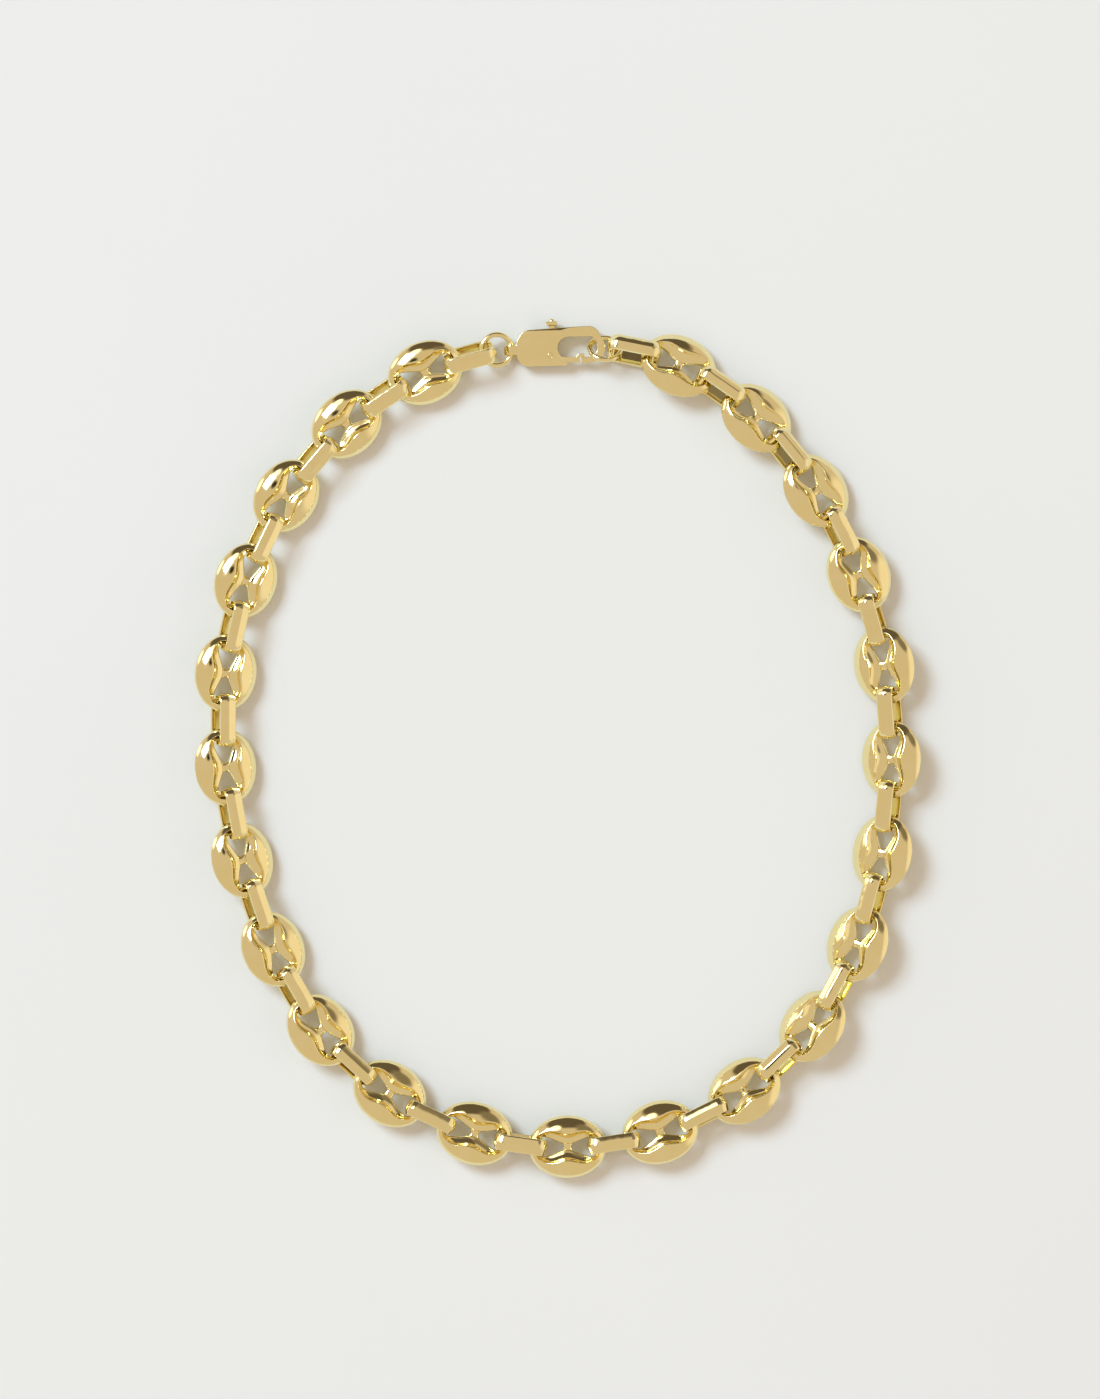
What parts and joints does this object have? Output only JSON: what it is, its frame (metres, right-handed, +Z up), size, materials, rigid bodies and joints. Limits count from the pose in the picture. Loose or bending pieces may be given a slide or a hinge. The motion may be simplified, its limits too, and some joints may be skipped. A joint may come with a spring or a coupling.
{
  "type": "chain necklace",
  "caption": "Puffed mariner link chain necklace of domed oval links and upright oblong connectors, closed by a lobster clasp with a sprung lever.",
  "frame": {"origin": "on the table under the middle of the laid loop's box", "axes": "+Z up from the table, +Y from the bottom of the loop towards the clasp, +X to the right seen from above"},
  "size_m": [0.1348, 0.1598, 0.0067],
  "materials": {
    "puffed_link": "polished yellow gold plate",
    "connector": "polished yellow gold plate",
    "ring": "polished yellow gold plate",
    "clasp": "polished yellow gold plate",
    "rivet": "polished yellow gold plate",
    "spring": "bare spring steel"
  },
  "bodies": {
    "connector_00": {"connector_00": "connector"},
    "puffed_link_01": {"puffed_link_01": "puffed_link"},
    "connector_01": {"connector_01": "connector"},
    "puffed_link_02": {"puffed_link_02": "puffed_link"},
    "connector_02": {"connector_02": "connector"},
    "puffed_link_03": {"puffed_link_03": "puffed_link"},
    "connector_03": {"connector_03": "connector"},
    "puffed_link_04": {"puffed_link_04": "puffed_link"},
    "connector_04": {"connector_04": "connector"},
    "puffed_link_05": {"puffed_link_05": "puffed_link"},
    "connector_05": {"connector_05": "connector"},
    "puffed_link_06": {"puffed_link_06": "puffed_link"},
    "connector_06": {"connector_06": "connector"},
    "puffed_link_07": {"puffed_link_07": "puffed_link"},
    "connector_07": {"connector_07": "connector"},
    "puffed_link_08": {"puffed_link_08": "puffed_link"},
    "connector_08": {"connector_08": "connector"},
    "puffed_link_09": {"puffed_link_09": "puffed_link"},
    "connector_09": {"connector_09": "connector"},
    "puffed_link_10": {"puffed_link_10": "puffed_link"},
    "connector_10": {"connector_10": "connector"},
    "puffed_link_11": {"puffed_link_11": "puffed_link"},
    "connector_11": {"connector_11": "connector"},
    "puffed_link_12": {"puffed_link_12": "puffed_link"},
    "connector_12": {"connector_12": "connector"},
    "puffed_link_13": {"puffed_link_13": "puffed_link"},
    "connector_13": {"connector_13": "connector"},
    "puffed_link_14": {"puffed_link_14": "puffed_link"},
    "connector_14": {"connector_14": "connector"},
    "puffed_link_15": {"puffed_link_15": "puffed_link"},
    "connector_15": {"connector_15": "connector"},
    "puffed_link_16": {"puffed_link_16": "puffed_link"},
    "connector_16": {"connector_16": "connector"},
    "puffed_link_17": {"puffed_link_17": "puffed_link"},
    "connector_17": {"connector_17": "connector"},
    "puffed_link_18": {"puffed_link_18": "puffed_link"},
    "connector_18": {"connector_18": "connector"},
    "puffed_link_19": {"puffed_link_19": "puffed_link"},
    "connector_19": {"connector_19": "connector"},
    "puffed_link_20": {"puffed_link_20": "puffed_link"},
    "connector_20": {"connector_20": "connector"},
    "puffed_link_21": {"puffed_link_21": "puffed_link"},
    "connector_21": {"connector_21": "connector"},
    "puffed_link_22": {"puffed_link_22": "puffed_link"},
    "connector_22": {"connector_22": "connector"},
    "puffed_link_23": {"puffed_link_23": "puffed_link"},
    "connector_23": {"connector_23": "connector"},
    "jump_ring_right": {"jump_ring_right": "ring"},
    "jump_ring_left": {"jump_ring_left": "ring"},
    "clasp": {"clasp_body": "clasp", "clasp_rivet": "rivet", "lever_spring": "spring"},
    "lever": {"clasp_lever": "clasp"}
  },
  "joints": [
    {"name": "connector_11_turn", "type": "hinge", "parent": "puffed_link_12", "child": "connector_11", "pos_m": [0.00624, -0.07412, 0.00322], "axis": [0, 0, 1], "range_deg": [-0.96, 0.96]},
    {"name": "puffed_link_11_turn", "type": "hinge", "parent": "connector_11", "child": "puffed_link_11", "pos_m": [0.0149, -0.07277, 0.00322], "axis": [0, 0, 1], "range_deg": [-3.35, 3.35]},
    {"name": "connector_10_turn", "type": "hinge", "parent": "puffed_link_11", "child": "connector_10", "pos_m": [0.02327, -0.07014, 0.00322], "axis": [0, 0, 1], "range_deg": [-2.93, 2.93]},
    {"name": "puffed_link_10_turn", "type": "hinge", "parent": "connector_10", "child": "puffed_link_10", "pos_m": [0.03114, -0.06627, 0.00322], "axis": [0, 0, 1], "range_deg": [-1.94, 1.94]},
    {"name": "connector_09_turn", "type": "hinge", "parent": "puffed_link_10", "child": "connector_09", "pos_m": [0.03835, -0.06127, 0.00322], "axis": [0, 0, 1], "range_deg": [-4.02, 4.02]},
    {"name": "puffed_link_09_turn", "type": "hinge", "parent": "connector_09", "child": "puffed_link_09", "pos_m": [0.04472, -0.05523, 0.00322], "axis": [0, 0, 1], "range_deg": [-0.0236, 0.0236]},
    {"name": "connector_08_turn", "type": "hinge", "parent": "puffed_link_09", "child": "connector_08", "pos_m": [0.05005, -0.04827, 0.00322], "axis": [0, 0, 1], "range_deg": [-3.86, 3.86]},
    {"name": "puffed_link_08_turn", "type": "hinge", "parent": "connector_08", "child": "puffed_link_08", "pos_m": [0.05423, -0.04056, 0.00322], "axis": [0, 0, 1], "range_deg": [-1.53, 1.53]},
    {"name": "loop_skew", "type": "hinge", "parent": "puffed_link_08", "child": "connector_07", "pos_m": [0.05735, -0.03236, 0.00322], "axis": [0, 0, 1], "range_deg": [-2.4, 2.4]},
    {"name": "puffed_link_07_turn", "type": "hinge", "parent": "connector_07", "child": "puffed_link_07", "pos_m": [0.0596, -0.02387, 0.00322], "axis": [0, 0, 1], "range_deg": [-2.02, 2.02]},
    {"name": "connector_06_turn", "type": "hinge", "parent": "puffed_link_07", "child": "connector_06", "pos_m": [0.06114, -0.01523, 0.00322], "axis": [0, 0, 1], "range_deg": [-1.25, 1.25]},
    {"name": "puffed_link_06_turn", "type": "hinge", "parent": "connector_06", "child": "puffed_link_06", "pos_m": [0.06201, -0.00649, 0.00322], "axis": [0, 0, 1], "range_deg": [-2.49, 2.49]},
    {"name": "connector_05_turn", "type": "hinge", "parent": "puffed_link_06", "child": "connector_05", "pos_m": [0.06214, 0.00228, 0.00322], "axis": [0, 0, 1], "range_deg": [-0.343, 0.343]},
    {"name": "puffed_link_05_turn", "type": "hinge", "parent": "connector_05", "child": "puffed_link_05", "pos_m": [0.06147, 0.01103, 0.00322], "axis": [0, 0, 1], "range_deg": [-2.82, 2.82]},
    {"name": "connector_04_turn", "type": "hinge", "parent": "puffed_link_05", "child": "connector_04", "pos_m": [0.05995, 0.01968, 0.00322], "axis": [0, 0, 1], "range_deg": [-2, 2]},
    {"name": "puffed_link_04_turn", "type": "hinge", "parent": "connector_04", "child": "puffed_link_04", "pos_m": [0.05759, 0.02813, 0.00322], "axis": [0, 0, 1], "range_deg": [-2.47, 2.47]},
    {"name": "connector_03_turn", "type": "hinge", "parent": "puffed_link_04", "child": "connector_03", "pos_m": [0.05439, 0.03631, 0.00322], "axis": [0, 0, 1], "range_deg": [-3.24, 3.24]},
    {"name": "puffed_link_03_turn", "type": "hinge", "parent": "connector_03", "child": "puffed_link_03", "pos_m": [0.0504, 0.04412, 0.00322], "axis": [0, 0, 1], "range_deg": [-1.44, 1.44]},
    {"name": "connector_02_turn", "type": "hinge", "parent": "puffed_link_03", "child": "connector_02", "pos_m": [0.04565, 0.0515, 0.00322], "axis": [0, 0, 1], "range_deg": [-3.81, 3.81]},
    {"name": "puffed_link_02_turn", "type": "hinge", "parent": "connector_02", "child": "puffed_link_02", "pos_m": [0.04013, 0.05832, 0.00322], "axis": [0, 0, 1], "range_deg": [-0.0128, 0.0128]},
    {"name": "connector_01_turn", "type": "hinge", "parent": "puffed_link_02", "child": "connector_01", "pos_m": [0.03377, 0.06437, 0.00322], "axis": [0, 0, 1], "range_deg": [-3.64, 3.64]},
    {"name": "puffed_link_01_turn", "type": "hinge", "parent": "connector_01", "child": "puffed_link_01", "pos_m": [0.02654, 0.06933, 0.00322], "axis": [0, 0, 1], "range_deg": [-2.13, 2.13]},
    {"name": "connector_00_turn", "type": "hinge", "parent": "puffed_link_01", "child": "connector_00", "pos_m": [0.0185, 0.07282, 0.00322], "axis": [0, 0, 1], "range_deg": [-2.1, 2.1]},
    {"name": "jump_ring_right_turn", "type": "hinge", "parent": "connector_00", "child": "jump_ring_right", "pos_m": [0.00991, 0.07453, 0.00322], "axis": [0, 0, 1], "range_deg": [-3.76, 3.76]},
    {"name": "loop_squeeze", "type": "hinge", "parent": "puffed_link_12", "child": "connector_12", "pos_m": [-0.00254, -0.07418, 0.00322], "axis": [0, 0, 1], "range_deg": [-3.6, 3.6]},
    {"name": "puffed_link_13_turn", "type": "hinge", "parent": "connector_12", "child": "puffed_link_13", "pos_m": [-0.01122, -0.07294, 0.00322], "axis": [0, 0, 1], "range_deg": [-1.34, 1.34]},
    {"name": "connector_13_turn", "type": "hinge", "parent": "puffed_link_13", "child": "connector_13", "pos_m": [-0.01963, -0.07043, 0.00322], "axis": [0, 0, 1], "range_deg": [-3.07, 3.07]},
    {"name": "puffed_link_14_turn", "type": "hinge", "parent": "connector_13", "child": "puffed_link_14", "pos_m": [-0.02757, -0.06671, 0.00322], "axis": [0, 0, 1], "range_deg": [-3.29, 3.29]},
    {"name": "connector_14_turn", "type": "hinge", "parent": "puffed_link_14", "child": "connector_14", "pos_m": [-0.03488, -0.06185, 0.00322], "axis": [0, 0, 1], "range_deg": [-1.7, 1.7]},
    {"name": "puffed_link_15_turn", "type": "hinge", "parent": "connector_14", "child": "puffed_link_15", "pos_m": [-0.04132, -0.05591, 0.00322], "axis": [0, 0, 1], "range_deg": [-4.16, 4.16]},
    {"name": "connector_15_turn", "type": "hinge", "parent": "puffed_link_15", "child": "connector_15", "pos_m": [-0.04673, -0.049, 0.00322], "axis": [0, 0, 1], "range_deg": [-0.93, 0.93]},
    {"name": "puffed_link_16_turn", "type": "hinge", "parent": "connector_15", "child": "puffed_link_16", "pos_m": [-0.05113, -0.04141, 0.00322], "axis": [0, 0, 1], "range_deg": [-3.34, 3.34]},
    {"name": "connector_16_turn", "type": "hinge", "parent": "puffed_link_16", "child": "connector_16", "pos_m": [-0.05466, -0.03337, 0.00322], "axis": [0, 0, 1], "range_deg": [-3.5, 3.5]},
    {"name": "puffed_link_17_turn", "type": "hinge", "parent": "connector_16", "child": "puffed_link_17", "pos_m": [-0.05749, -0.02506, 0.00322], "axis": [0, 0, 1], "range_deg": [-2.09, 2.09]},
    {"name": "connector_17_turn", "type": "hinge", "parent": "puffed_link_17", "child": "connector_17", "pos_m": [-0.05972, -0.01657, 0.00322], "axis": [0, 0, 1], "range_deg": [-3.47, 3.47]},
    {"name": "puffed_link_18_turn", "type": "hinge", "parent": "connector_17", "child": "puffed_link_18", "pos_m": [-0.06131, -0.00794, 0.00322], "axis": [0, 0, 1], "range_deg": [-1.01, 1.01]},
    {"name": "connector_18_turn", "type": "hinge", "parent": "puffed_link_18", "child": "connector_18", "pos_m": [-0.06215, 0.0008, 0.00322], "axis": [0, 0, 1], "range_deg": [-1.53, 1.53]},
    {"name": "puffed_link_19_turn", "type": "hinge", "parent": "connector_18", "child": "puffed_link_19", "pos_m": [-0.06215, 0.00958, 0.00322], "axis": [0, 0, 1], "range_deg": [-0.2589, 0.2589]},
    {"name": "connector_19_turn", "type": "hinge", "parent": "puffed_link_19", "child": "connector_19", "pos_m": [-0.06123, 0.0183, 0.00322], "axis": [0, 0, 1], "range_deg": [-0.87, 0.87]},
    {"name": "puffed_link_20_turn", "type": "hinge", "parent": "connector_19", "child": "puffed_link_20", "pos_m": [-0.05936, 0.02688, 0.00322], "axis": [0, 0, 1], "range_deg": [-1.86, 1.86]},
    {"name": "connector_20_turn", "type": "hinge", "parent": "puffed_link_20", "child": "connector_20", "pos_m": [-0.05655, 0.03519, 0.00322], "axis": [0, 0, 1], "range_deg": [-1.96, 1.96]},
    {"name": "puffed_link_21_turn", "type": "hinge", "parent": "connector_20", "child": "puffed_link_21", "pos_m": [-0.05277, 0.04311, 0.00322], "axis": [0, 0, 1], "range_deg": [-3.51, 3.51]},
    {"name": "connector_21_turn", "type": "hinge", "parent": "puffed_link_21", "child": "connector_21", "pos_m": [-0.04805, 0.05051, 0.00322], "axis": [0, 0, 1], "range_deg": [-1.86, 1.86]},
    {"name": "puffed_link_22_turn", "type": "hinge", "parent": "connector_21", "child": "puffed_link_22", "pos_m": [-0.0424, 0.05722, 0.00322], "axis": [0, 0, 1], "range_deg": [-4.34, 4.34]},
    {"name": "connector_22_turn", "type": "hinge", "parent": "puffed_link_22", "child": "connector_22", "pos_m": [-0.0359, 0.06311, 0.00322], "axis": [0, 0, 1], "range_deg": [-0.64, 0.64]},
    {"name": "puffed_link_23_turn", "type": "hinge", "parent": "connector_22", "child": "puffed_link_23", "pos_m": [-0.02859, 0.06796, 0.00322], "axis": [0, 0, 1], "range_deg": [-3.47, 3.47]},
    {"name": "connector_23_turn", "type": "hinge", "parent": "puffed_link_23", "child": "connector_23", "pos_m": [-0.0206, 0.07157, 0.00322], "axis": [0, 0, 1], "range_deg": [-3.33, 3.33]},
    {"name": "jump_ring_left_turn", "type": "hinge", "parent": "connector_23", "child": "jump_ring_left", "pos_m": [-0.01213, 0.07385, 0.00322], "axis": [0, 0, 1], "range_deg": [-1.5, 1.5]},
    {"name": "clasp_turn", "type": "hinge", "parent": "jump_ring_left", "child": "clasp", "pos_m": [-0.00844, 0.074, 0.00158], "axis": [0, 0, 1], "range_deg": [-3.37, 3.37]},
    {"name": "lever_open", "type": "hinge", "parent": "clasp", "child": "lever", "pos_m": [-0.00132, 0.07299, 0.00193], "axis": [-0.0488, -0.0013, 0.9988], "range_deg": [0, 18], "stiffness_Nm_per_rad": 0.002, "springref_deg": -17.19, "deforming": ["lever_spring"]}
  ],
  "couplings": [
    {"joint": "jump_ring_right_turn", "follows": "loop_squeeze", "ratio": -1.042},
    {"joint": "puffed_link_01_turn", "follows": "loop_squeeze", "ratio": -0.591},
    {"joint": "puffed_link_02_turn", "follows": "loop_squeeze", "ratio": -0.003},
    {"joint": "puffed_link_03_turn", "follows": "loop_squeeze", "ratio": 0.4},
    {"joint": "puffed_link_04_turn", "follows": "loop_squeeze", "ratio": 0.684},
    {"joint": "puffed_link_05_turn", "follows": "loop_squeeze", "ratio": 0.783},
    {"joint": "puffed_link_06_turn", "follows": "loop_squeeze", "ratio": 0.69},
    {"joint": "puffed_link_07_turn", "follows": "loop_squeeze", "ratio": 0.559},
    {"joint": "puffed_link_08_turn", "follows": "loop_squeeze", "ratio": 0.423},
    {"joint": "puffed_link_09_turn", "follows": "loop_squeeze", "ratio": 0.006},
    {"joint": "puffed_link_10_turn", "follows": "loop_squeeze", "ratio": -0.537},
    {"joint": "puffed_link_11_turn", "follows": "loop_squeeze", "ratio": -0.929},
    {"joint": "connector_13_turn", "follows": "loop_squeeze", "ratio": 0.851},
    {"joint": "connector_14_turn", "follows": "loop_squeeze", "ratio": 0.472},
    {"joint": "connector_15_turn", "follows": "loop_squeeze", "ratio": -0.259},
    {"joint": "connector_16_turn", "follows": "loop_squeeze", "ratio": -0.971},
    {"joint": "connector_17_turn", "follows": "loop_squeeze", "ratio": -0.964},
    {"joint": "connector_18_turn", "follows": "loop_squeeze", "ratio": -0.425},
    {"joint": "connector_19_turn", "follows": "loop_squeeze", "ratio": -0.241},
    {"joint": "connector_20_turn", "follows": "loop_squeeze", "ratio": -0.543},
    {"joint": "connector_21_turn", "follows": "loop_squeeze", "ratio": -0.515},
    {"joint": "connector_22_turn", "follows": "loop_squeeze", "ratio": 0.178},
    {"joint": "connector_23_turn", "follows": "loop_squeeze", "ratio": 0.924},
    {"joint": "clasp_turn", "follows": "loop_squeeze", "ratio": 0.936},
    {"joint": "connector_00_turn", "follows": "loop_skew", "ratio": -0.872},
    {"joint": "connector_01_turn", "follows": "loop_skew", "ratio": -1.517},
    {"joint": "connector_02_turn", "follows": "loop_skew", "ratio": -1.585},
    {"joint": "connector_03_turn", "follows": "loop_skew", "ratio": -1.348},
    {"joint": "connector_04_turn", "follows": "loop_skew", "ratio": -0.834},
    {"joint": "connector_05_turn", "follows": "loop_skew", "ratio": -0.142},
    {"joint": "connector_06_turn", "follows": "loop_skew", "ratio": 0.519},
    {"joint": "connector_08_turn", "follows": "loop_skew", "ratio": 1.606},
    {"joint": "connector_09_turn", "follows": "loop_skew", "ratio": 1.675},
    {"joint": "connector_10_turn", "follows": "loop_skew", "ratio": 1.221},
    {"joint": "connector_11_turn", "follows": "loop_skew", "ratio": 0.397},
    {"joint": "puffed_link_13_turn", "follows": "loop_skew", "ratio": 0.557},
    {"joint": "puffed_link_14_turn", "follows": "loop_skew", "ratio": 1.37},
    {"joint": "puffed_link_15_turn", "follows": "loop_skew", "ratio": 1.733},
    {"joint": "puffed_link_16_turn", "follows": "loop_skew", "ratio": 1.39},
    {"joint": "puffed_link_17_turn", "follows": "loop_skew", "ratio": 0.868},
    {"joint": "puffed_link_18_turn", "follows": "loop_skew", "ratio": 0.418},
    {"joint": "puffed_link_19_turn", "follows": "loop_skew", "ratio": -0.107},
    {"joint": "puffed_link_20_turn", "follows": "loop_skew", "ratio": -0.773},
    {"joint": "puffed_link_21_turn", "follows": "loop_skew", "ratio": -1.461},
    {"joint": "puffed_link_22_turn", "follows": "loop_skew", "ratio": -1.806},
    {"joint": "puffed_link_23_turn", "follows": "loop_skew", "ratio": -1.446},
    {"joint": "jump_ring_left_turn", "follows": "loop_skew", "ratio": -0.622}
  ]
}
